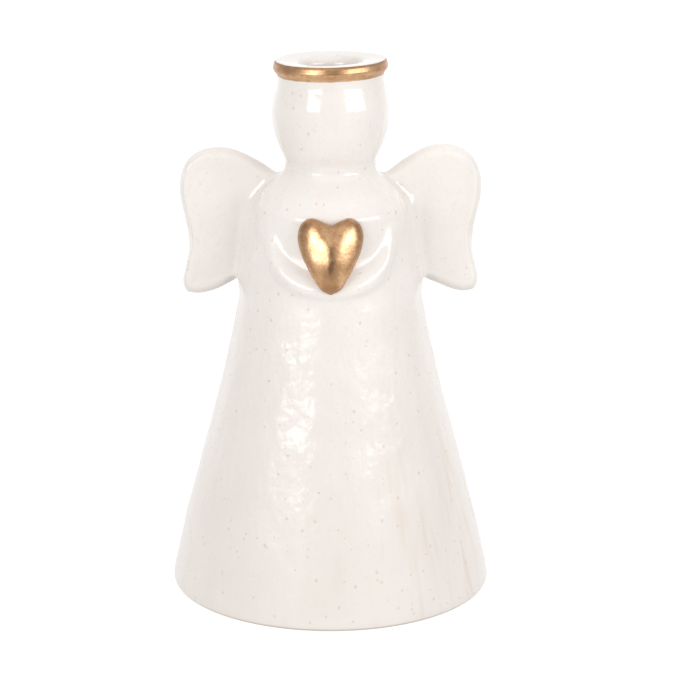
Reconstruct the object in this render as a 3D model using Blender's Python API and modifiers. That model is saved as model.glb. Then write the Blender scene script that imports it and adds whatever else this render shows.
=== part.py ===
"""Angel taper holder: one slip-cast stoneware figure with a candle socket in its crown.

Metres, +Z up, the figure faces -Y. The origin is at the centre of the foot ring.
"""
import math

import bmesh
import bpy
from mathutils import Vector
from mathutils.geometry import interpolate_bezier

MM = 0.001

# Driving sizes
HEIGHT = 210 * MM
TURN_STEPS = 52
HOLLOW_STEPS = 36
STRAIGHT_TURN = math.radians(1.2)
EDGE_ANGLE = math.radians(50)

# Candle socket, for a taper with a butt of about 22 mm
SOCKET_RADIUS = 11.3 * MM
SOCKET_FLOOR = 184 * MM
SOCKET_FILLET = 2 * MM
MOUTH_ROUNDING = 2.4 * MM

# Outside of the turned figure, from the lip down to the foot: radius and height in mm.
# The wall left by the hollow is about 5 mm.
LIP = [(21.3, 210.0), (21.95, 209.5), (22.2, 208.5), (21.9, 207.2), (21.2, 205.9), (20.3, 204.3)]
HEAD = [(20.7, 201.6), (21.9, 196.8), (22.65, 190.0), (21.9, 183.0), (19.8, 175.8)]
NECK = [(17.8, 171.2), (17.5, 168.8), (18.9, 166.2)]
SHOULDERS = [(22.4, 163.0), (26.6, 159.0), (30.0, 153.2), (31.8, 146.0)]
SKIRT = [(34.6, 125.0), (38.2, 105.0), (44.0, 80.0), (50.6, 55.0), (57.1, 30.0), (62.0, 10.0)]
FOOT_EDGE = [(63.3, 3.0), (63.35, 1.2), (62.5, 0.0)]

# Hollow under the figure, from its ceiling down: radius and height in mm
CEILING = [(0.0, 179.0), (8.0, 179.0), (11.6, 177.4), (12.6, 174.0)]
HOLLOW = [(12.4, 167.0), (17.0, 161.0), (23.6, 153.0), (26.8, 143.0), (29.6, 125.0), (33.2, 105.0),
          (39.0, 80.0), (45.6, 55.0), (52.1, 30.0), (57.4, 4.0), (58.2, -2.0)]

# Wing outline in the XZ plane, right wing, from its root over the tip and back: mm
WING_OUTLINE = [(17.0, 161.6), (30.0, 170.4), (42.5, 175.4), (53.3, 172.2), (58.8, 161.5), (57.4, 149.0),
                (55.7, 136.0), (57.5, 126.0), (58.2, 119.6), (54.0, 116.8), (46.0, 118.2), (36.0, 123.0),
                (25.0, 126.0), (18.0, 144.0)]
WING_THICKNESS = 8 * MM
WING_ROUNDING = 2.8 * MM
WING_SETBACK = 4.6 * MM

# Arms: a soft ridge from shoulder to shoulder, lowest under the heart: angle from the front in
# degrees and height in mm, over one arm
ARM_PATH = [(70, 163.0), (60, 158.5), (51, 152.5), (43, 144.5), (35, 137.0), (26, 131.8), (14, 129.0),
            (0, 128.2)]
ARM_RADIUS = 7.0 * MM
ARM_PROUD = 2.6 * MM
SHOULDER_SINK = 3.5 * MM

# Heart: half of its outline, from the notch to the tip: half width and height over the middle in mm
HEART_OUTLINE = [(0.0, 12.4), (3.2, 14.0), (7.4, 15.3), (11.0, 13.2), (12.5, 8.6), (11.7, 3.2),
                 (9.5, -2.2), (6.7, -7.4), (3.6, -12.0), (0.0, -13.8)]
HEART_HEIGHT = 139.2 * MM
# The heart leans back with the breast
HEART_LEAN = math.radians(-10)
HEART_SETBACK = 32.6 * MM
# Each ring of the puffed front: its share of the outline's size, and how far it stands proud
HEART_RINGS = [(1.0, 0.0), (1.0, 2.4 * MM), (0.93, 4.9 * MM), (0.74, 6.7 * MM), (0.45, 7.7 * MM)]
HEART_SINK = 8 * MM
CREASE_DEPTH = 1.0 * MM
CREASE_WIDTH = 3.2 * MM
CREASE_REACH = 4 * MM


def clear_scene():
    for item in list(bpy.data.objects):
        bpy.data.objects.remove(item, do_unlink=True)


def collection(name):
    group = bpy.data.collections.new(name)
    bpy.context.scene.collection.children.link(group)
    return group


def material(name, colour, roughness, metallic):
    finish = bpy.data.materials.new(name)
    finish.use_nodes = True
    shader = finish.node_tree.nodes["Principled BSDF"]
    shader.inputs["Base Color"].default_value = (*colour, 1.0)
    shader.inputs["Roughness"].default_value = roughness
    shader.inputs["Metallic"].default_value = metallic
    return finish


def place(name, mesh, group, finish):
    item = bpy.data.objects.new(name, mesh)
    group.objects.link(item)
    mesh.materials.append(finish)
    return item


def keep_as_cutter(item):
    item.hide_render = True
    item.display_type = "WIRE"
    return item


def smooth_line(points, steps):
    """Points on a smooth curve through the given points, with steps spans between neighbours."""
    knots = [Vector(point) for point in points]
    slopes = []
    for index, knot in enumerate(knots):
        before = knots[max(index - 1, 0)]
        after = knots[min(index + 1, len(knots) - 1)]
        slopes.append((after - before).normalized())
    line = [knots[0]]
    for index in range(len(knots) - 1):
        start, end = knots[index], knots[index + 1]
        handle = (end - start).length / 3
        first = start + slopes[index] * handle
        second = end - slopes[index + 1] * handle
        line += interpolate_bezier(start, first, second, end, steps + 1)[1:]
    return line


def quarter_arc(centre, radius, start, steps):
    """Points of a quarter circle in the profile plane, turning clockwise from the start angle."""
    arc = []
    for step in range(steps + 1):
        angle = math.radians(start - 90 * step / steps)
        arc.append(Vector((centre[0] + radius * math.cos(angle), centre[1] + radius * math.sin(angle))))
    return arc


def without_straight_points(line):
    """The line without the points where it hardly turns."""
    kept = [line[0]]
    for point, after in zip(line[1:], line[2:]):
        turn = (point - kept[-1]).angle(after - point)
        if turn > STRAIGHT_TURN:
            kept.append(point)
    return kept + [line[-1]]


def outer_line():
    """The outside of the figure from lip to foot, as radius and height in metres."""
    knots = LIP + HEAD + NECK + SHOULDERS + SKIRT + FOOT_EDGE
    line = smooth_line([(radius * MM, height * MM) for radius, height in knots], 2)
    return without_straight_points(line)


def body_radius(height):
    """Radius of the turned figure at a height below the head's widest ring."""
    line = outer_line()
    for upper, lower in zip(line, line[1:]):
        if lower.y <= height <= upper.y:
            share = (upper.y - height) / (upper.y - lower.y)
            return upper.x + (lower.x - upper.x) * share
    raise ValueError("no ring at this height")


def turned(name, profile, steps, group, finish):
    """A solid of revolution from a profile of radius and height that runs down its outer side."""
    mesh = bpy.data.meshes.new(name)
    shape = bmesh.new()
    ring = [shape.verts.new((point[0], 0.0, point[1])) for point in profile]
    for first, second in zip(ring, ring[1:]):
        shape.edges.new((first, second))
    shape.to_mesh(mesh)
    shape.free()
    item = place(name, mesh, group, finish)
    screw = item.modifiers.new("Turn", "SCREW")
    screw.steps = steps
    screw.render_steps = steps
    screw.use_merge_vertices = True
    screw.merge_threshold = 0.00001
    screw.use_smooth_shade = True
    return item


def turned_figure(group, finish):
    """Socket floor and wall, mouth, lip, head, shoulders, skirt and flat foot, in one profile."""
    floor_corner = (SOCKET_RADIUS - SOCKET_FILLET, SOCKET_FLOOR + SOCKET_FILLET)
    mouth_centre = (SOCKET_RADIUS + MOUTH_ROUNDING, HEIGHT - MOUTH_ROUNDING)
    profile = [Vector((0.0, SOCKET_FLOOR))]
    profile += reversed(quarter_arc(floor_corner, SOCKET_FILLET, 0, 2))
    profile += quarter_arc(mouth_centre, MOUTH_ROUNDING, 180, 3)
    profile += outer_line()
    profile.append(Vector((0.0, 0.0)))
    return turned("angel_casting", profile, TURN_STEPS, group, finish)


def hollow(group, finish):
    knots = [(radius * MM, height * MM) for radius, height in CEILING[1:] + HOLLOW[:-1]]
    profile = [Vector(CEILING[0]) * MM]
    profile += smooth_line(knots, 1)
    profile.append(Vector(HOLLOW[-1]) * MM)
    profile.append(Vector((0.0, HOLLOW[-1][1] * MM)))
    return keep_as_cutter(turned("hollow", profile, HOLLOW_STEPS, group, finish))


def mesh_from_curve(curve_item, name, group, finish):
    """A closed mesh object in place of a curve object."""
    bpy.context.view_layer.update()
    graph = bpy.context.evaluated_depsgraph_get()
    mesh = bpy.data.meshes.new_from_object(curve_item.evaluated_get(graph))
    shape = bmesh.new()
    shape.from_mesh(mesh)
    bmesh.ops.remove_doubles(shape, verts=shape.verts, dist=0.00001)
    bmesh.ops.recalc_face_normals(shape, faces=shape.faces)
    shape.to_mesh(mesh)
    shape.free()
    mesh.materials.clear()
    mesh.shade_smooth()
    mesh.set_sharp_from_angle(angle=EDGE_ANGLE)
    item = place(name, mesh, group, finish)
    item.matrix_world = curve_item.matrix_world.copy()
    bpy.data.objects.remove(curve_item, do_unlink=True)
    return item


def wing(side, group, finish):
    """A flat wing with rounded edges, its root inside the torso. side is 1 or -1."""
    curve = bpy.data.curves.new("wing outline", "CURVE")
    curve.dimensions = "2D"
    curve.fill_mode = "BOTH"
    curve.extrude = WING_THICKNESS / 2 - WING_ROUNDING
    curve.bevel_depth = WING_ROUNDING
    curve.bevel_resolution = 1
    curve.offset = -WING_ROUNDING
    curve.resolution_u = 4
    spline = curve.splines.new("BEZIER")
    spline.bezier_points.add(len(WING_OUTLINE) - 1)
    for point, (across, height) in zip(spline.bezier_points, WING_OUTLINE):
        point.co = (side * across * MM, height * MM, 0.0)
        point.handle_left_type = "AUTO"
        point.handle_right_type = "AUTO"
    spline.use_cyclic_u = True
    outline = bpy.data.objects.new("wing outline", curve)
    group.objects.link(outline)
    outline.rotation_euler.x = math.radians(90)
    outline.location.y = WING_SETBACK
    name = "right_wing" if side > 0 else "left_wing"
    return keep_as_cutter(mesh_from_curve(outline, name, group, finish))


def arms(group, finish):
    """Both arms as one rounded ridge that follows the chest and sinks away at the shoulders."""
    other_arm = [(-angle, height) for angle, height in reversed(ARM_PATH[:-1])]
    path = smooth_line(ARM_PATH + other_arm, 2)
    curve = bpy.data.curves.new("arm path", "CURVE")
    curve.dimensions = "3D"
    curve.bevel_depth = ARM_RADIUS
    curve.bevel_resolution = 3
    curve.use_fill_caps = True
    spline = curve.splines.new("POLY")
    spline.points.add(len(path) - 1)
    for point, spot in zip(spline.points, path):
        angle = math.radians(spot.x)
        height = spot.y * MM
        share_to_shoulder = abs(spot.x) / ARM_PATH[0][0]
        proud = ARM_PROUD - SHOULDER_SINK * share_to_shoulder ** 4
        reach = body_radius(height) + proud - ARM_RADIUS
        point.co = (reach * math.sin(angle), -reach * math.cos(angle), height, 1.0)
    ridge = bpy.data.objects.new("arm path", curve)
    group.objects.link(ridge)
    return keep_as_cutter(mesh_from_curve(ridge, "arms", group, finish))


def heart(group, finish):
    """A puffed heart on the breast with a crease running down from its notch."""
    half = [(across * MM, height * MM) for across, height in HEART_OUTLINE]
    other_half = [(-across, height) for across, height in reversed(half[:-1])]
    outline = smooth_line(half + other_half, 2)[:-1]
    shape = bmesh.new()
    base = [shape.verts.new((point.x, HEART_SINK, point.y)) for point in outline]
    back = shape.faces.new(base)
    front = bmesh.ops.extrude_face_region(shape, geom=[back])["geom"]
    ring = [part for part in front if isinstance(part, bmesh.types.BMVert)]
    face = next(part for part in front if isinstance(part, bmesh.types.BMFace))
    for vert in ring:
        vert.co.y = 0.0
    for (previous, _), (size, proud) in zip(HEART_RINGS, HEART_RINGS[1:]):
        front = bmesh.ops.extrude_face_region(shape, geom=[face])["geom"]
        ring = [part for part in front if isinstance(part, bmesh.types.BMVert)]
        old_face = face
        face = next(part for part in front if isinstance(part, bmesh.types.BMFace))
        shape.faces.remove(old_face)
        for vert in ring:
            vert.co.x *= size / previous
            vert.co.z *= size / previous
            vert.co.y = -proud
    crown = bmesh.ops.poke(shape, faces=[face])["verts"]
    crown[0].co.y = -HEART_RINGS[-1][1]
    for vert in shape.verts:
        if vert.co.y < -HEART_RINGS[1][1] / 2:
            fade = min(1.0, max(0.0, (vert.co.z + CREASE_REACH) / CREASE_REACH))
            vert.co.y += CREASE_DEPTH * fade * math.exp(-(vert.co.x / CREASE_WIDTH) ** 2)
    bmesh.ops.recalc_face_normals(shape, faces=shape.faces)
    mesh = bpy.data.meshes.new("heart")
    shape.to_mesh(mesh)
    shape.free()
    mesh.shade_smooth()
    item = place("heart", mesh, group, finish)
    item.location = (0.0, -HEART_SETBACK, HEART_HEIGHT)
    item.rotation_euler.x = HEART_LEAN
    return keep_as_cutter(item)


def combine(item, operand, operation):
    boolean = item.modifiers.new(operand.name, "BOOLEAN")
    boolean.operation = operation
    boolean.solver = "EXACT"
    boolean.object = operand


def build():
    clear_scene()
    glaze = material("cream glaze", (0.86, 0.80, 0.73), 0.18, 0.0)
    gold = material("gold lustre", (0.62, 0.38, 0.13), 0.30, 1.0)
    figure_group = collection("angel candle holder")
    cutter_group = collection("shaping")
    figure = turned_figure(figure_group, glaze)
    figure.data.materials.append(gold)
    for side in (-1, 1):
        combine(figure, wing(side, cutter_group, glaze), "UNION")
    combine(figure, arms(cutter_group, glaze), "UNION")
    combine(figure, heart(cutter_group, gold), "UNION")
    combine(figure, hollow(cutter_group, glaze), "DIFFERENCE")


build()
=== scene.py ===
"""Finished angel taper holder: glazed casting with a gilded lip and a gilded heart.

Metres, +Z up, the figure faces -Y. Profile numbers are millimetres.
"""

import math

import bmesh
import bpy
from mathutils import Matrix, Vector, noise
from mathutils.geometry import interpolate_bezier


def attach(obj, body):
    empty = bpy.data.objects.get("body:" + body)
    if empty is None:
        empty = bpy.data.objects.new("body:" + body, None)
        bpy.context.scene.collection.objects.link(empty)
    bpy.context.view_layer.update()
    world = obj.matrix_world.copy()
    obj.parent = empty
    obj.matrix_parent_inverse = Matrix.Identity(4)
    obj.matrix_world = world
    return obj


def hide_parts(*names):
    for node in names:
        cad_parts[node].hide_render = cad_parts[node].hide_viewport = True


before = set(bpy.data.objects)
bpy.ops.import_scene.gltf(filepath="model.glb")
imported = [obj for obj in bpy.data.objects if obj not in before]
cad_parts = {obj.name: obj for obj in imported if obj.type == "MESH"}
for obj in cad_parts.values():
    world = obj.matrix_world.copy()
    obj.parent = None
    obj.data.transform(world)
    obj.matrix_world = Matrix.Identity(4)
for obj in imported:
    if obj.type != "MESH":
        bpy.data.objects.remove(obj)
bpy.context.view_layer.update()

MM = 0.001

# Turned casting
COLUMNS = 60
SMOOTHING_LEVELS = 2
SMOOTHING_ROUNDS = 8

# Socket and lip, from the middle of the socket's floor up the wall and over: radius and height
SOCKET = [(0.0, 184.0), (5.5, 184.0), (9.6, 184.15), (11.0, 185.4), (11.3, 188.0), (11.3, 197.0),
          (11.3, 204.5), (11.55, 207.0), (12.4, 208.9), (13.9, 209.6)]
LIP = [(17.0, 209.9), (20.4, 210.1), (21.2, 209.95), (21.65, 209.35), (21.9, 208.5), (22.12, 207.6),
       (22.0, 206.8), (21.45, 206.0), (20.75, 205.1), (20.52, 204.3), (20.5, 203.3), (20.6, 202.0)]
HEAD = [(20.86, 200.3), (21.7, 197.0), (22.45, 193.0), (22.65, 189.0), (22.3, 185.0), (21.5, 181.0),
        (20.2, 177.0), (18.8, 173.6), (17.85, 171.4), (17.5, 169.6), (17.75, 167.9), (18.7, 166.3)]
TORSO = [(20.2, 164.8), (23.0, 162.4), (26.1, 159.4), (28.2, 156.4), (29.9, 153.6), (30.4, 150.4),
         (30.8, 147.0), (31.25, 143.4), (31.85, 139.8), (32.6, 136.2), (33.4, 132.6), (34.05, 129.2),
         (34.6, 126.2), (34.95, 123.4)]
SKIRT = [(34.95, 123.4), (38.2, 105.0), (44.0, 80.0), (50.6, 55.0), (57.1, 30.0), (61.2, 13.0)]
FOOT = [(62.3, 8.2), (63.0, 4.8), (63.3, 2.6), (63.3, 1.1), (62.7, 0.2), (61.4, 0.0), (59.2, 0.0),
        (58.0, 0.35), (57.5, 1.8)]
HOLLOW = [(56.6, 8.0), (52.1, 30.0), (45.6, 55.0), (39.0, 80.0), (33.2, 105.0), (29.6, 125.0),
          (26.8, 143.0), (23.6, 153.0), (17.0, 161.0), (12.9, 167.0), (12.4, 173.0), (11.6, 177.4),
          (8.0, 179.0), (0.0, 179.0)]

# Wing outline in the XZ plane, right wing: along the top, down the tip and back along the bottom
WING_OUTLINE = [(21.5, 165.2), (28.0, 169.6), (35.0, 173.4), (42.5, 175.5), (50.0, 174.4), (55.6, 170.2),
                (58.4, 164.0), (58.9, 157.0), (57.4, 149.0), (55.8, 140.0), (55.7, 134.0), (57.2, 127.5),
                (58.3, 121.4), (57.2, 118.2), (53.2, 116.8), (46.8, 118.0), (39.7, 121.2), (34.8, 123.4)]
WING_CORNERS = (5, 13)
WING_STATIONS = [0.13, 0.27, 0.42, 0.57, 0.70, 0.81, 0.91, 1.0]
WING_RIM = 0.075
WING_FRONT = 0.6
WING_BACK = 8.6
WING_EDGE_INSET = 1.4
WING_EDGE_TURN = 1.4
WING_MIDDLE = Vector((45.0, 147.0))
WING_LIFTS = {1: 0.5, -1: -0.6}

# Fillet at a wing's root, smaller at the shoulder, with shares of it one and two columns further round
WING_FILLET = 2.0
FILLET_HIGH = 0.3
FILLET_LEVELS = (161, 145)
FILLET_FLARE = 0.19
FILLET_SPREAD = {1: 0.55, 2: 0.2}

# Arms: angle from the front in degrees and height, over one arm
ARM_PATH = [(74.0, 166.0), (66.0, 160.8), (58.0, 155.2), (51.0, 149.9), (44.5, 144.5), (36.5, 137.2),
            (26.5, 131.8), (14.0, 129.0), (0.0, 128.2)]
ARM_OUTER_WIDTH = 3.9
ARM_INNER_WIDTH = 5.8
ARM_NARROWING = 2.2
ARM_SHIFT = 1.7
ARM_PROUD = 2.3
ARM_ROUNDNESS = 1.8
ARM_SOFTNESS = 0.7

# How an arm changes towards its shoulder, each between two angles from the front
ARM_NARROW_ANGLES = (24, 42)
ARM_SOFT_ANGLES = (28, 50)
ARM_FADE_ANGLES = (34, 54)
ARM_FADE = 0.75

# How far from its middle line an arm reaches, and where on the torso it can lie
ARM_REACH = (12, 8)
ARM_LEVELS = (117, 171)
ARM_HALF_SPAN = 34
ARM_SIDE_FADE = 7

# Heart: half of its outline from the notch to the tip, half width and height over its middle
HEART_OUTLINE = [(0.0, 12.4), (3.2, 14.0), (7.4, 15.3), (11.0, 13.2), (12.5, 8.6), (11.7, 3.2),
                 (9.5, -2.2), (6.7, -7.4), (3.6, -12.0), (0.0, -13.8)]
HEART_PLACE = Vector((0.0, -32.6, 139.2))
HEART_LEAN = math.radians(-10)

# Heart's puff: front and back of its middle, how square its section is and its bend round the chest
HEART_PROUD = 7.2
HEART_SINK = 2.9
HEART_FULL = 4.8
HEART_BEND = 22.0
HEART_SLANT = 0.05
HEART_TUCK = 0.02

# Crease below the notch and the low ridge under it: height and width. Swells over the heart's front
HEART_CREASE = (0.8, 2.4)
HEART_RIDGE = (0.9, 5.0)
HEART_SWELLS = (2.2, 0.2)

# Hand-made unevenness: size of the swells and their height. The socket's floor and the foot stay flat
WIDE_SWELLS = (13, 0.28)
SMALL_SWELLS = (6, 0.07)
FLAT_RADIUS = 10
FOOT_FADE = (1, 7)

# Lip: how far its right side stands over its left, per mm across, and the heights where the tilt sets in
LIP_TILT = 0.0209
LIP_FADE = (195, 203)

# Bare clay in the hollow: depth under the outside, and the height where it ends
CLAY_DEPTH = (2.6, 3.4)
CLAY_TOP = (182, 181)

# How many times the thin glaze on the edges is spread to its neighbours
THIN_GLAZE_ROUNDS = 3

# Heights where the glaze changes: under the neck, at the skirt's top, down the skirt and under the lip
ROBE_TOP = 165.0
SKIRT_TOP = 126.0
LOW_DOWN_TOP = 120.0
GOLD_LEVELS = (204.2, 204.6)

# Flutes: the skirt's radius counted in flutes, and their length in mm
FLUTES_AROUND = 12.7
FLUTE_LENGTH = 35.0

# Colours of the glaze, the clay and the lustre
CREAM = ((0.78, 0.73, 0.69), (0.81, 0.77, 0.735))
# Painted shade: darker cream on the skirt and towards the bottom
LOW_CREAM_SHADE = (0.70, 0.643, 0.60)
OCHRE_IN_GROOVES = (0.64, 0.50, 0.38)
FLECK = (0.74, 0.65, 0.55)
OCHRE_SPECK = (0.58, 0.40, 0.25)
BROWN_SPECK = (0.36, 0.24, 0.16)
THIN_GLAZE = (0.66, 0.53, 0.40)
# Painted contact shadow: the glaze darkens to this colour in the lowest mm above the floor
FOOT_CONTACT_SHADOW = (0.36, 0.31, 0.24)
CLAY = ((0.66, 0.56, 0.45), (0.74, 0.65, 0.54))
GOLD = ((0.66, 0.415, 0.235), (0.47, 0.265, 0.135))
GOLD_PITS = (0.36, 0.18, 0.08)
# Darker lustre on the lip's top edge, and painted shade (a painted dark reflection) at the lip's sides
LIP_DARK_EDGE_AND_SHADE = (0.30, 0.14, 0.08)
# Painted shade over the heart: darker lustre at its rim, top, tip and between its lobes
HEART_PAINTED_SHADE = (0.28, 0.14, 0.07)

# Studio, in metres: the table ends in front of the figure, out of the picture
FLOOR_SIZE = Vector((1.1, 2.6, 1.0))
FLOOR_MIDDLE = Vector((0.05, 0.95, 0.0))
FLOOR_TAPER = 0.45
FLOOR_GREY = (0.2, 0.2, 0.2, 1.0)
FLOOR_GLOW = 0.85
WHITE = (1.0, 1.0, 1.0, 1.0)

# Softboxes: azimuth from the camera's side to the right and elevation in degrees, width, height, power
SOFTBOXES = {
    "left softbox": (-36, 17.3, 0.55, 0.28, 3.1),
    "right softbox": (52, 18.8, 0.73, 0.27, 3.45),
}
SOFTBOX_DISTANCE = 1.05
SOFTBOX_AIM = Vector((0, 0, 0.1))

# Tent round the figure: its brightness, and by how much it changes along an axis between two values
AIR_BRIGHTNESS = 0.99
AIR_CHANGES = [("Z", -0.05, 0.2, -0.175), ("Z", 0.3, 0.8, 0.35), ("Y", -0.9, -0.98, -0.7),
               ("Y", -0.8, -0.1, -0.27), ("Y", 0.3, 0.8, 0.582)]

# Camera of the photo. The figure stands a few pixels left of the picture's middle
CAMERA_PLACE = (0.0, -0.921316, 0.354706)
CAMERA_DIP = 0.271588
LENS = 127.85
SENSOR = 36.0
PICTURE_SIDE = 680
LEFT_OF_MIDDLE = 9.4


def smooth_line(knots, steps):
    """Points on a smooth curve through the knots, with steps spans between neighbours."""
    knots = [Vector(knot) for knot in knots]
    slopes = []
    for index in range(len(knots)):
        before = knots[max(index - 1, 0)]
        after = knots[min(index + 1, len(knots) - 1)]
        slopes.append((after - before).normalized())
    line = [knots[0]]
    for index in range(len(knots) - 1):
        start, end = knots[index], knots[index + 1]
        handle = (end - start).length / 3
        first = start + slopes[index] * handle
        second = end - slopes[index + 1] * handle
        line += interpolate_bezier(start, first, second, end, steps + 1)[1:]
    return line


def along(line, share):
    """The point at a share of the way along a line, by length."""
    spans = [(after - before).length for before, after in zip(line, line[1:])]
    left = share * sum(spans)
    for span, before, after in zip(spans, line, line[1:]):
        if left <= span:
            return before.lerp(after, left / span)
        left -= span
    return line[-1]


def ease(value, low, high):
    """0 below low, 1 above high and a soft S between them."""
    share = min(1.0, max(0.0, (value - low) / (high - low)))
    return share * share * (3 - 2 * share)


def casting_profile():
    """Radius and height from the socket's floor over the lip, down the outside and up the hollow."""
    upper = [Vector(spot) for spot in SOCKET + LIP + HEAD + TORSO]
    lower = [Vector(spot) for spot in FOOT + HOLLOW]
    return upper + smooth_line(SKIRT, 3)[1:] + lower


def turned_cage(profile):
    """The casting's coarse cage in mm, turned in COLUMNS steps. Returns it with its rings by row."""
    cage = bmesh.new()
    row = cage.verts.layers.int.new("row")
    column = cage.verts.layers.int.new("column")
    cage.verts.layers.int.new("soft")
    line = [cage.verts.new((spot.x, 0.0, spot.y)) for spot in profile]
    edges = [cage.edges.new(pair) for pair in zip(line, line[1:])]
    bmesh.ops.spin(cage, geom=line + edges, cent=(0, 0, 0), axis=(0, 0, 1), angle=math.tau,
                   steps=COLUMNS, use_merge=True)
    bmesh.ops.remove_doubles(cage, verts=cage.verts, dist=0.001)
    for vert in cage.verts:
        vert[row] = min(range(len(profile)), key=lambda index: ring_distance(vert.co, profile[index]))
        vert[column] = round(math.degrees(math.atan2(vert.co.y, vert.co.x)) * COLUMNS / 360) % COLUMNS
    return cage


def ring_distance(spot, ring):
    """How far a spot is from a ring of the turned casting."""
    return (Vector((math.hypot(spot.x, spot.y), spot.z)) - ring).length


def wing_spot(share_out, share_down, root):
    """A point of the wing's face: a patch between its top, tip, bottom and root edges."""
    outline = smooth_line(WING_OUTLINE, 4)
    upper, lower = (corner * 4 for corner in WING_CORNERS)
    top, tip, bottom = outline[:upper + 1], outline[upper:lower + 1], outline[:lower - 1:-1]
    corners = (root[0] * (1 - share_out) + top[-1] * share_out) * (1 - share_down)
    corners += (root[-1] * (1 - share_out) + bottom[-1] * share_out) * share_down
    spans = along(top, share_out) * (1 - share_down) + along(bottom, share_out) * share_down
    sides = along(root, share_down) * (1 - share_out) + along(tip, share_down) * share_out
    return spans + sides - corners


def pull_wing(cage, side, first_row, last_row):
    """Draw one wing out of the torso's side. side is 1 for the wing at +X, or -1."""
    row = cage.verts.layers.int["row"]
    column = cage.verts.layers.int["column"]
    lines = (0, 1, 2) if side > 0 else (COLUMNS // 2, COLUMNS // 2 - 1, COLUMNS // 2 - 2)
    rows = range(first_row, last_row + 1)
    patch = [face for face in cage.faces
             if all(vert[row] in rows and vert[column] in lines for vert in face.verts)]
    root = [Vector(spot) for spot in TORSO]
    spans = [0.0] + [(after - before).length for before, after in zip(root, root[1:])]
    at_root = [sum(spans[:index + 1]) / sum(spans) for index in range(len(root))]
    steps = len(root) - 3
    at_tip = [0.0] + [WING_RIM + (1 - 2 * WING_RIM) * step / steps for step in range(steps + 1)] + [1.0]
    soft = cage.verts.layers.int["soft"]
    soften_root(cage, side, lines, rows)
    for station in WING_STATIONS:
        raised = bmesh.ops.extrude_face_region(cage, geom=patch)["geom"]
        bmesh.ops.delete(cage, geom=patch, context="FACES")
        patch = [part for part in raised if isinstance(part, bmesh.types.BMFace)]
        for vert in (part for part in raised if isinstance(part, bmesh.types.BMVert)):
            place = vert[row] - first_row
            down = at_root[place] + (at_tip[place] - at_root[place]) * ease(station, 0.0, 0.3)
            spot = wing_spot(station, down, root)
            place = lines.index(vert[column])
            depth = (WING_FRONT, (WING_FRONT + WING_BACK) / 2, WING_BACK)[place]
            at_rim = vert[row] in (first_row, last_row) or station == 1.0
            if station == WING_STATIONS[0] and place != 1 and not at_rim:
                depth += WING_FILLET * (-FILLET_FLARE if place == 0 else FILLET_FLARE)
            if at_rim and place != 1:
                spot += (WING_MIDDLE - spot).normalized() * WING_EDGE_INSET
                depth += WING_EDGE_TURN if place == 0 else -WING_EDGE_TURN
            lift = WING_LIFTS[side] * ease(station, 0.0, 0.5)
            vert.co = (side * spot.x, depth, spot.y + lift)
            vert[soft] = 0


def soften_root(cage, side, lines, rows):
    """Fill the crease along the wing's root, on its front and its back."""
    row = cage.verts.layers.int["row"]
    column = cage.verts.layers.int["column"]
    soft = cage.verts.layers.int["soft"]
    turn = lines[1] - lines[0]
    for vert in cage.verts:
        if vert[row] in rows:
            for line, forward in ((lines[0], -1), (lines[2], 1)):
                fillet = WING_FILLET * (FILLET_HIGH + (1 - FILLET_HIGH) * ease(vert.co.z, *FILLET_LEVELS))
                if vert[column] == line:
                    vert.co += Vector((side, forward, 0)) * fillet
                    vert[soft] = 1
                for step, share in FILLET_SPREAD.items():
                    if vert[column] == (line + forward * turn * step) % COLUMNS:
                        vert.co.x += side * fillet * share
                        vert[soft] = 1


def limit_point(vert):
    """Where subdivision carries a cage point in the end."""
    count = len(vert.link_edges)
    total = vert.co * count * count
    for edge in vert.link_edges:
        total += edge.other_vert(vert).co * 4
    for loop in vert.link_loops:
        total += loop.link_loop_next.link_loop_next.vert.co
    return total / (count * (count + 5))


def hold_shape(cage):
    """Move the cage out so that its smoothed surface passes through its points, but for the soft ones."""
    soft = cage.verts.layers.int["soft"]
    targets = {vert: vert.co.copy() for vert in cage.verts if not vert[soft]}
    for _ in range(SMOOTHING_ROUNDS):
        moves = {vert: target - limit_point(vert) for vert, target in targets.items()}
        for vert, move in moves.items():
            vert.co += move


def show(name, mesh):
    """Put a mesh in the scene as an object."""
    item = bpy.data.objects.new(name, mesh)
    bpy.context.scene.collection.objects.link(item)
    return item


def smoothed(cage):
    """The cage in mm as a fine, smooth mesh in mm."""
    mesh = bpy.data.meshes.new("cage")
    cage.to_mesh(mesh)
    cage.free()
    item = show("cage", mesh)
    smoothing = item.modifiers.new("Smooth", "SUBSURF")
    smoothing.levels = SMOOTHING_LEVELS
    smoothing.render_levels = SMOOTHING_LEVELS
    bpy.context.view_layer.update()
    graph = bpy.context.evaluated_depsgraph_get()
    fine = bpy.data.meshes.new_from_object(item.evaluated_get(graph))
    bpy.data.objects.remove(item, do_unlink=True)
    return fine


def outer_radius(height):
    """How far the turned casting's outside stands from the axis at a height."""
    outside = [Vector(spot) for spot in HEAD + TORSO[:-1] + SKIRT + FOOT[:6]]
    for upper, lower in zip(outside, outside[1:]):
        if height >= lower.y:
            return lower.x + (upper.x - lower.x) * (height - lower.y) / (upper.y - lower.y)
    return outside[-1].x


def arm_line():
    """Points along both arms on the torso's surface, each with its angle from the front."""
    other_arm = [(-angle, height) for angle, height in reversed(ARM_PATH[:-1])]
    line = []
    for spot in smooth_line(ARM_PATH + other_arm, 6):
        radius = outer_radius(spot.y)
        angle = math.radians(spot.x)
        line.append((Vector((radius * math.sin(angle), -radius * math.cos(angle), spot.y)), spot.x))
    return line


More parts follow.
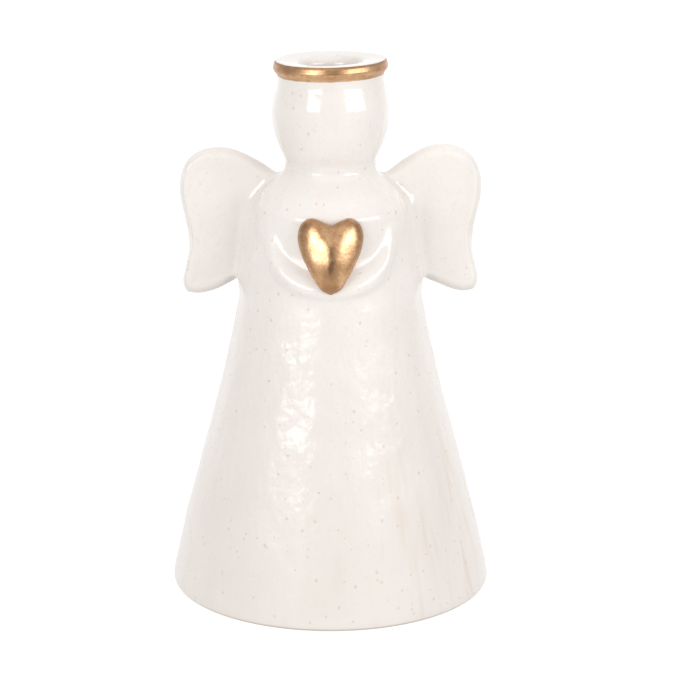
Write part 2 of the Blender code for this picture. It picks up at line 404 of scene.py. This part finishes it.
def arm_rise(spot, line):
    """How far an arm lifts the torso's surface at a spot, in mm."""
    distance, index = min(((spot - point).length, index) for index, (point, _) in enumerate(line))
    if distance > ARM_INNER_WIDTH * 2:
        return 0.0
    point, angle = line[index]
    before = line[max(index - 1, 0)][0]
    after = line[min(index + 1, len(line) - 1)][0]
    course = (after - before).normalized()
    across = (spot - point) - course * (spot - point).dot(course)
    outward = Vector((point.x, point.y, 0.0)).normalized()
    lower_side = course.cross(outward).dot(across) < 0
    offset = across.length * (1 if lower_side else -1) - ARM_SHIFT
    inner_width = ARM_INNER_WIDTH - ARM_NARROWING * ease(abs(angle), *ARM_NARROW_ANGLES)
    half_width = ARM_OUTER_WIDTH if offset > 0 else inner_width
    proud = ARM_PROUD * (1 - ARM_FADE * ease(abs(angle), *ARM_FADE_ANGLES))
    arc = proud * (1 - abs(offset / half_width) ** ARM_ROUNDNESS)
    softness = ARM_SOFTNESS * (1 + ease(abs(angle), *ARM_SOFT_ANGLES))
    rise = (arc + math.sqrt(arc * arc + softness * softness)) / 2
    return rise * ease(distance, *ARM_REACH)


def shape_casting(fine):
    """Raise the arms and give the casting its hand-made unevenness. Works in mm."""
    line = arm_line()
    lowest, highest = ARM_LEVELS
    wide, wide_height = WIDE_SWELLS
    small, small_height = SMALL_SWELLS
    moves = []
    for vert in fine.vertices:
        spot = vert.co.copy()
        move = Vector((0, 0, 0))
        outside = vert.normal.dot(Vector((spot.x, spot.y, 0))) > 0
        on_chest = lowest < spot.z < highest and spot.y < 0 and abs(spot.x) < ARM_HALF_SPAN
        if outside and on_chest:
            move += vert.normal * arm_rise(spot, line) * ease(-spot.y, 0, ARM_SIDE_FADE)
        uneven = noise.noise(spot / wide) * wide_height
        uneven += noise.noise(spot / small + Vector((7, 3, 1))) * small_height
        if math.hypot(spot.x, spot.y) > FLAT_RADIUS:
            move += vert.normal * uneven * ease(spot.z, *FOOT_FADE)
        move.z += LIP_TILT * spot.x * ease(spot.z, *LIP_FADE)
        moves.append(move)
    for vert, move in zip(fine.vertices, moves):
        vert.co = (vert.co + move) * MM


def store_thin_glaze(fine):
    """Keep how sharply each spot stands out, where the fired glaze has run thin."""
    bend_sums = [0.0] * len(fine.vertices)
    count = [0] * len(fine.vertices)
    for edge in fine.edges:
        first, second = (fine.vertices[index] for index in edge.vertices)
        run = second.co - first.co
        bend = (second.normal - first.normal).dot(run) / max(run.length_squared, 1e-12)
        for vert in (first, second):
            bend_sums[vert.index] += bend * MM
            count[vert.index] += 1
    bends = [total / number for total, number in zip(bend_sums, count)]
    for _ in range(THIN_GLAZE_ROUNDS):
        sums = list(bends)
        for edge in fine.edges:
            first, second = edge.vertices
            sums[first] += bends[second]
            sums[second] += bends[first]
        bends = [total / (number + 1) for total, number in zip(sums, count)]
    layer = fine.attributes.new("thin_glaze", "FLOAT", "POINT")
    for value, bend in zip(layer.data, bends):
        value.value = bend


def store_bare_clay(fine):
    """Mark the hollow under the skirt, which isn't glazed."""
    layer = fine.attributes.new("bare_clay", "FLOAT", "POINT")
    for value, vert in zip(layer.data, fine.vertices):
        spot = vert.co / MM
        deep = outer_radius(spot.z) - math.hypot(spot.x, spot.y)
        value.value = ease(deep, *CLAY_DEPTH) * ease(spot.z, *CLAY_TOP)


def glazed_casting():
    """Skirt, torso, arms, wings, head and lip as one smooth skin."""
    profile = casting_profile()
    cage = turned_cage(profile)
    first_row = len(SOCKET + LIP + HEAD)
    last_row = first_row + len(TORSO) - 1
    for side in (1, -1):
        pull_wing(cage, side, first_row, last_row)
    hold_shape(cage)
    bmesh.ops.recalc_face_normals(cage, faces=cage.faces)
    fine = smoothed(cage)
    shape_casting(fine)
    store_thin_glaze(fine)
    store_bare_clay(fine)
    fine.shade_smooth()
    return show("glazed_casting", fine)


def heart_reach(outline, angle):
    """Distance from the heart's middle to its outline, for an angle from straight up."""
    for before, after in zip(outline, outline[1:]):
        start = math.atan2(before.x, before.y)
        end = math.atan2(after.x, after.y)
        if start <= angle <= end:
            return before.length + (after.length - before.length) * (angle - start) / (end - start)
    return outline[-1].length


def gilded_heart():
    """A puffed heart with two lobes and a crease that runs down from its notch."""
    outline = smooth_line(HEART_OUTLINE, 6)
    outline[-1].x = 0.0001
    crease_height, crease_width = HEART_CREASE
    ridge_height, ridge_width = HEART_RIDGE
    swells, swell_height = HEART_SWELLS
    shape = bmesh.new()
    bmesh.ops.create_icosphere(shape, subdivisions=5, radius=1.0)
    for vert in shape.verts:
        spot = vert.co.copy()
        fullness = math.hypot(spot.x, spot.z) ** HEART_FULL + abs(spot.y) ** HEART_FULL
        fullness **= 1 / HEART_FULL
        reach = heart_reach(outline, math.atan2(abs(spot.x), spot.z)) / fullness
        across = spot.x * reach
        height = spot.z * reach
        if spot.y < 0:
            crease = crease_height * ease(height, 5, 13) * math.exp(-(across / crease_width) ** 2)
            tuck = HEART_TUCK * min(height, 0) ** 2
            ridge = ridge_height * math.exp(-math.hypot(across, 1.0) / ridge_width) * ease(height, 12, 4)
            front = HEART_PROUD - crease - tuck + ridge - height * HEART_SLANT
            depth = front * spot.y / fullness
            depth += noise.noise(spot * swells) * swell_height
        else:
            depth = HEART_SINK * spot.y / fullness
        depth += across * across / (2 * HEART_BEND)
        turned_depth = depth * math.cos(HEART_LEAN) - height * math.sin(HEART_LEAN)
        turned_height = height * math.cos(HEART_LEAN) + depth * math.sin(HEART_LEAN)
        vert.co = (Vector((across, turned_depth, turned_height)) + HEART_PLACE) * MM
    bmesh.ops.recalc_face_normals(shape, faces=shape.faces)
    mesh = bpy.data.meshes.new("gilded heart")
    shape.to_mesh(mesh)
    shape.free()
    mesh.shade_smooth()
    return show("gilded_heart", mesh)


class Signal:
    """A node's output that can take part in sums."""

    def __init__(self, nodes, socket):
        self.nodes = nodes
        self.socket = socket

    def maths(self, operation, first, second):
        """One Math node."""
        return self.nodes.node("ShaderNodeMath", {"operation": operation}, {0: first, 1: second})

    def __add__(self, other):
        return self.maths("ADD", self, other)

    def __radd__(self, other):
        return self.maths("ADD", other, self)

    def __sub__(self, other):
        return self.maths("SUBTRACT", self, other)

    def __rsub__(self, other):
        return self.maths("SUBTRACT", other, self)

    def __mul__(self, other):
        return self.maths("MULTIPLY", self, other)

    def __rmul__(self, other):
        return self.maths("MULTIPLY", other, self)

    def __truediv__(self, other):
        return self.maths("DIVIDE", self, other)

    def __rtruediv__(self, other):
        return self.maths("DIVIDE", other, self)

    def __pow__(self, other):
        return self.maths("POWER", self, other)

    def __rpow__(self, other):
        return self.maths("POWER", other, self)

    def rise(self, low, high):
        """0 below low, 1 above high, soft between."""
        return self.nodes.node("ShaderNodeMapRange", {"interpolation_type": "SMOOTHSTEP"},
                               {0: self, 1: low, 2: high})


class Nodes:
    """A node tree whose nodes are all added in one way."""

    def __init__(self, tree):
        self.tree = tree

    def feed(self, socket, value):
        """Set a socket to a value, or link a signal to it."""
        if isinstance(value, Signal):
            self.tree.links.new(value.socket, socket)
        else:
            socket.default_value = value

    def node(self, kind, settings=None, inputs=None, output=0):
        """Add a node, set it up and return one of its outputs."""
        added = self.tree.nodes.new(kind)
        for name, value in (settings or {}).items():
            setattr(added, name, value)
        for key, value in (inputs or {}).items():
            self.feed(added.inputs[key], value)
        return Signal(self, added.outputs[output])

    def vector(self, operation, first, second=None, scale=None):
        """One Vector Math node."""
        inputs = {0: first, 1: second, "Scale": scale}
        given = {key: value for key, value in inputs.items() if value is not None}
        return self.node("ShaderNodeVectorMath", {"operation": operation}, given)

    def part(self, vector, axis):
        """X, Y or Z of a vector."""
        return self.node("ShaderNodeSeparateXYZ", inputs={0: vector}, output=axis)

    def join(self, x, y, z):
        """A vector from its three parts."""
        return self.node("ShaderNodeCombineXYZ", inputs={0: x, 1: y, 2: z})


class Paint(Nodes):
    """A material that knows each spot's place on its piece, in mm."""

    def __init__(self, name):
        self.material = bpy.data.materials.new(name)
        self.material.use_nodes = True
        super().__init__(self.material.node_tree)
        self.shader = self.tree.nodes["Principled BSDF"]
        place = self.node("ShaderNodeTexCoord", output="Object")
        self.spot = self.vector("SCALE", place, scale=1 / MM)
        self.x, self.y, self.z = (self.part(self.spot, axis) for axis in "XYZ")

    def stored(self, name):
        """A value kept on the piece's own points."""
        return self.node("ShaderNodeAttribute", {"attribute_name": name}, output="Fac")

    def cloud(self, size, detail=2.0, roughness=0.5, where=None, shift=0.0):
        """Soft noise from 0 to 1 with features of about the given size in mm."""
        return self.node("ShaderNodeTexNoise", {"noise_dimensions": "4D"},
                         {"Vector": where or self.spot, "W": shift, "Scale": 1.0 / size, "Detail": detail,
                          "Roughness": roughness}, "Fac")

    def mix(self, share, first, second):
        """One colour over another."""
        first = first if isinstance(first, Signal) else (*first, 1.0)
        second = second if isinstance(second, Signal) else (*second, 1.0)
        return self.node("ShaderNodeMix", {"data_type": "RGBA"}, {0: share, 6: first, 7: second}, 2)

    def specks(self, spacing, size, share):
        """Small spots, one in some of the cells of a loose grid. Sizes are mm."""
        ragged = self.node("ShaderNodeTexNoise", inputs={"Vector": self.spot, "Scale": 1.1}, output="Color")
        cells = {"Vector": self.vector("ADD", self.spot, ragged), "Scale": 1.0 / spacing}
        distance = self.node("ShaderNodeTexVoronoi", inputs=cells, output="Distance") * spacing
        colour = self.node("ShaderNodeTexVoronoi", inputs=cells, output="Color")
        lot = self.node("ShaderNodeSeparateColor", inputs={0: colour}, output="Red")
        width = self.node("ShaderNodeSeparateColor", inputs={0: colour}, output="Green")
        picked = (share - lot).rise(0.0, 0.01)
        return picked * (width * size + size * 0.4 - distance).rise(0.0, size * 0.5)

    def finish(self, colour, metallic, roughness, height):
        """Feed the shader. The height, in mm, gives the fine relief. Returns the material."""
        bump = self.node("ShaderNodeBump", inputs={"Strength": 1.0, "Distance": MM, "Height": height})
        inputs = {"Base Color": colour, "Metallic": metallic, "Roughness": roughness, "Normal": bump}
        for name, value in inputs.items():
            self.feed(self.shader.inputs[name], value)
        return self.material


def gold_colour(paint):
    """Fired gold lustre: warm, mottled, browner where it is thin."""
    patches = paint.cloud(4.5, 3.0, 0.6).rise(0.35, 0.7)
    brushed = paint.mix(patches, *GOLD)
    pits = paint.cloud(0.9, 2.0, 0.6, shift=7.0).rise(0.45, 0.75)
    return paint.mix(pits * 0.5, brushed, GOLD_PITS)


def glaze_colour(paint, on_skirt, flutes, brown):
    """Warm cream with flecks and specks, painted shade darkening the skirt and the lower parts, an ochre
    tint in the flutes' grooves low on the skirt, thin glaze on the edges and a painted contact shadow at
    the foot.
    """
    low_down = (LOW_DOWN_TOP - paint.z).rise(0.0, 110.0)
    body = paint.mix(paint.cloud(26.0, 3.0, 0.55).rise(0.3, 0.7), *CREAM)
    # Painted shade: the cream darkens on the skirt and further towards the bottom
    body = paint.mix(on_skirt * 0.25 + low_down * 0.28, body, LOW_CREAM_SHADE)
    to_the_right = paint.x.rise(-10.0, 40.0)
    # Darker ochre tint in the flutes' grooves, low down and more on the right side
    groove_ochre = (0.5 - flutes).rise(0.0, 0.25) * low_down * (0.07 + to_the_right * 0.38)
    body = paint.mix(groove_ochre, body, OCHRE_IN_GROOVES)
    flecked = paint.cloud(1.6, 4.0, 0.65, shift=3.0).rise(0.5, 0.72)
    body = paint.mix(flecked * 0.5, body, FLECK)
    ochre = paint.specks(2.8, 0.6, 0.28 + low_down * 0.3)
    body = paint.mix(ochre * 0.38, body, OCHRE_SPECK)
    body = paint.mix(brown * (0.2 + on_skirt * 0.18), body, BROWN_SPECK)
    worn = (paint.stored("thin_glaze") + (paint.cloud(3.0, 3.0) - 0.5) * 0.2).rise(0.16, 0.5)
    body = paint.mix(worn * 0.4, body, THIN_GLAZE)
    # Painted contact shadow: the glaze darkens in the lowest millimetre, where the figure meets the floor
    return paint.mix((1.3 - paint.z).rise(0.0, 0.9) * 0.6, body, FOOT_CONTACT_SHADOW)


def gilded_lip(paint, radius, level):
    """Where the gold lies: on the lip's outer side, over its groove and off its top."""
    wobble = (paint.cloud(2.4, 2.0, shift=5.0) - 0.5) * 0.9
    over_groove = (level + wobble * 0.6).rise(*GOLD_LEVELS)
    off_top = (radius - 21.0 + (210.0 - level) * 1.2 + wobble * 0.5).rise(0.0, 0.25)
    return over_groove * off_top


def bare_foot(paint):
    """Where the clay is bare: on the foot ring and inside the skirt."""
    under = (0.3 + (paint.cloud(2.0, 2.0, shift=9.0) - 0.5) * 0.5 - paint.z).rise(0.0, 0.1)
    return (under + paint.stored("bare_clay")).rise(0.3, 0.6)


def glaze_paint():
    """Warm white gloss glaze with a gilded lip and a bare foot."""
    paint = Paint("cream glaze")
    radius = (paint.x * paint.x + paint.y * paint.y) ** 0.5
    level = paint.z - paint.x * LIP_TILT
    on_skirt = (SKIRT_TOP - paint.z).rise(0.0, 16.0)
    on_robe = (ROBE_TOP - paint.z).rise(0.0, 8.0)
    gold = gilded_lip(paint, radius, level)
    bare = bare_foot(paint)
    brown = paint.specks(8.0, 0.45, 0.5)

    # Combed flutes down the skirt
    turn = FLUTES_AROUND / radius
    round_spot = paint.join(paint.x * turn, paint.y * turn, paint.z / FLUTE_LENGTH)
    flutes = paint.cloud(1.0, 1.0, where=round_spot)

    # Glaze, then lustre that is darker on the lip's top edge and carries painted shade, a painted dark
    # reflection, at its sides, then clay
    body = glaze_colour(paint, on_skirt, flutes, brown)
    # Painted shade at the lip's sides, where the lustre darkens to stand for a dark reflection; the top
    # edge is darker too
    dark_edge_and_painted_shade = level.rise(209.0, 209.8) * 0.5 + (paint.x * paint.x).rise(220.0, 440.0) * 0.35
    lustre = paint.mix(dark_edge_and_painted_shade, gold_colour(paint), LIP_DARK_EDGE_AND_SHADE)
    clay = paint.mix(paint.cloud(0.8, 3.0, 0.7).rise(0.35, 0.65), *CLAY)
    colour = paint.mix(bare, paint.mix(gold, body, lustre), clay)
    shine = 0.07 + paint.cloud(9.0, 3.0, shift=2.0) * 0.07
    shine = shine + gold * 0.24 + on_skirt * 0.06 + on_robe * 0.04 + bare * 0.6

    # Dimples all over, more on the skirt, and sandy clay
    upper = (paint.z - 30.0).rise(0.0, 50.0)
    dimples = paint.cloud(5.0, 2.0, 0.45, paint.join(paint.x, paint.y, paint.z * 0.65), 1.0)
    fine = paint.cloud(2.4, 1.0, 0.5, shift=4.0)
    height = flutes * on_skirt * 0.18 + dimples * (0.1 + on_skirt * (0.2 + upper * 0.2))
    height = height + fine * (0.03 + on_skirt * 0.08) - brown * 0.04
    height = height + paint.cloud(0.5, 2.0) * bare * 0.15
    return paint.finish(colour, gold, shine, height)


def heart_paint():
    """Gold lustre brushed over the puffed heart, with painted shade, dark reflection painted into the
    lustre, at its rim, top and tip and between the lobes.
    """
    paint = Paint("gold lustre")
    across = paint.x * paint.x
    # Painted shade: the heart's rim, top, tip and lower middle between the lobes are darkened to stand for
    # dark reflections
    between = (16.0 - across).rise(0.0, 14.0)
    between = between * (paint.z - 126.0).rise(0.0, 4.0) * (141.0 - paint.z).rise(0.0, 5.0)
    dark_edge_and_painted_shade = (132.0 - paint.z).rise(0.0, 4.0) * 0.2 + (paint.z - 149.0).rise(0.0, 4.0) * 0.3
    dark_edge_and_painted_shade = dark_edge_and_painted_shade + between * 0.6 + across.rise(60.0, 150.0) * 0.35
    colour = paint.mix(dark_edge_and_painted_shade, gold_colour(paint), HEART_PAINTED_SHADE)
    shine = 0.21 + paint.cloud(1.2, 3.0, 0.6) * 0.15
    height = paint.cloud(6.0, 2.0) * 0.15 + paint.cloud(0.9, 2.0, shift=2.0) * 0.05
    return paint.finish(colour, 1.0, shine, height)


def studio_floor():
    """A wide pale floor that lights itself to an even white."""
    shape = bmesh.new()
    bmesh.ops.create_grid(shape, x_segments=1, y_segments=1, size=0.5)
    bmesh.ops.scale(shape, verts=shape.verts, vec=FLOOR_SIZE)
    front = [vert for vert in shape.verts if vert.co.y < 0]
    bmesh.ops.scale(shape, verts=front, vec=(FLOOR_TAPER, 1.0, 1.0))
    bmesh.ops.translate(shape, verts=shape.verts, vec=FLOOR_MIDDLE)
    mesh = bpy.data.meshes.new("studio floor")
    shape.to_mesh(mesh)
    shape.free()
    floor = show("studio_floor", mesh)
    white = bpy.data.materials.new("white floor")
    white.use_nodes = True
    shader = white.node_tree.nodes["Principled BSDF"]
    shader.inputs["Base Color"].default_value = FLOOR_GREY
    shader.inputs["Roughness"].default_value = 0.9
    shader.inputs["Emission Color"].default_value = WHITE
    shader.inputs["Emission Strength"].default_value = FLOOR_GLOW
    mesh.materials.append(white)
    floor.visible_diffuse = False
    return floor


def softbox(name, azimuth, elevation, wide, high, power):
    """A rectangular light aimed at the figure."""
    light = bpy.data.lights.new(name, "AREA")
    light.shape = "RECTANGLE"
    light.size = wide
    light.size_y = high
    light.energy = power
    box = bpy.data.objects.new(name, light)
    bpy.context.scene.collection.objects.link(box)
    turn, rise = math.radians(azimuth), math.radians(elevation)
    arm = Vector((math.sin(turn) * math.cos(rise), -math.cos(turn) * math.cos(rise), math.sin(rise)))
    box.location = SOFTBOX_AIM + arm * SOFTBOX_DISTANCE
    box.rotation_euler = arm.to_track_quat("Z", "Y").to_euler()


def studio_air():
    """White tent: brightest above and behind, with a dark patch round the camera's side."""
    world = bpy.data.worlds.new("studio")
    world.use_nodes = True
    air = Nodes(world.node_tree)
    way = air.node("ShaderNodeTexCoord", output="Generated")
    brightness = AIR_BRIGHTNESS
    for axis, low, high, change in AIR_CHANGES:
        brightness = brightness + air.part(way, axis).rise(low, high) * change
    background = air.tree.nodes["Background"]
    air.feed(background.inputs["Color"], WHITE)
    air.feed(background.inputs["Strength"], brightness)
    return world


def studio_camera():
    """The camera of the photo."""
    lens = bpy.data.cameras.new("camera")
    lens.lens = LENS
    lens.sensor_width = SENSOR
    lens.shift_x = LEFT_OF_MIDDLE / PICTURE_SIDE
    camera = bpy.data.objects.new("camera", lens)
    bpy.context.scene.collection.objects.link(camera)
    camera.location = CAMERA_PLACE
    camera.rotation_euler = (math.pi / 2 - CAMERA_DIP, 0.0, 0.0)
    return camera


def studio():
    """Floor, soft light and camera. Returns the floor."""
    for name, values in SOFTBOXES.items():
        softbox(name, *values)
    bpy.context.scene.world = studio_air()
    bpy.context.scene.view_settings.view_transform = "Standard"
    bpy.context.scene.camera = studio_camera()
    return studio_floor()


def dress():
    """Make the two pieces and the studio, and hand them to the frame."""
    casting = glazed_casting()
    casting.data.materials.append(glaze_paint())
    heart = gilded_heart()
    heart.data.materials.append(heart_paint())
    for piece in (casting, heart):
        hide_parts("angel_casting")
        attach(piece, "root")
    studio()


dress()
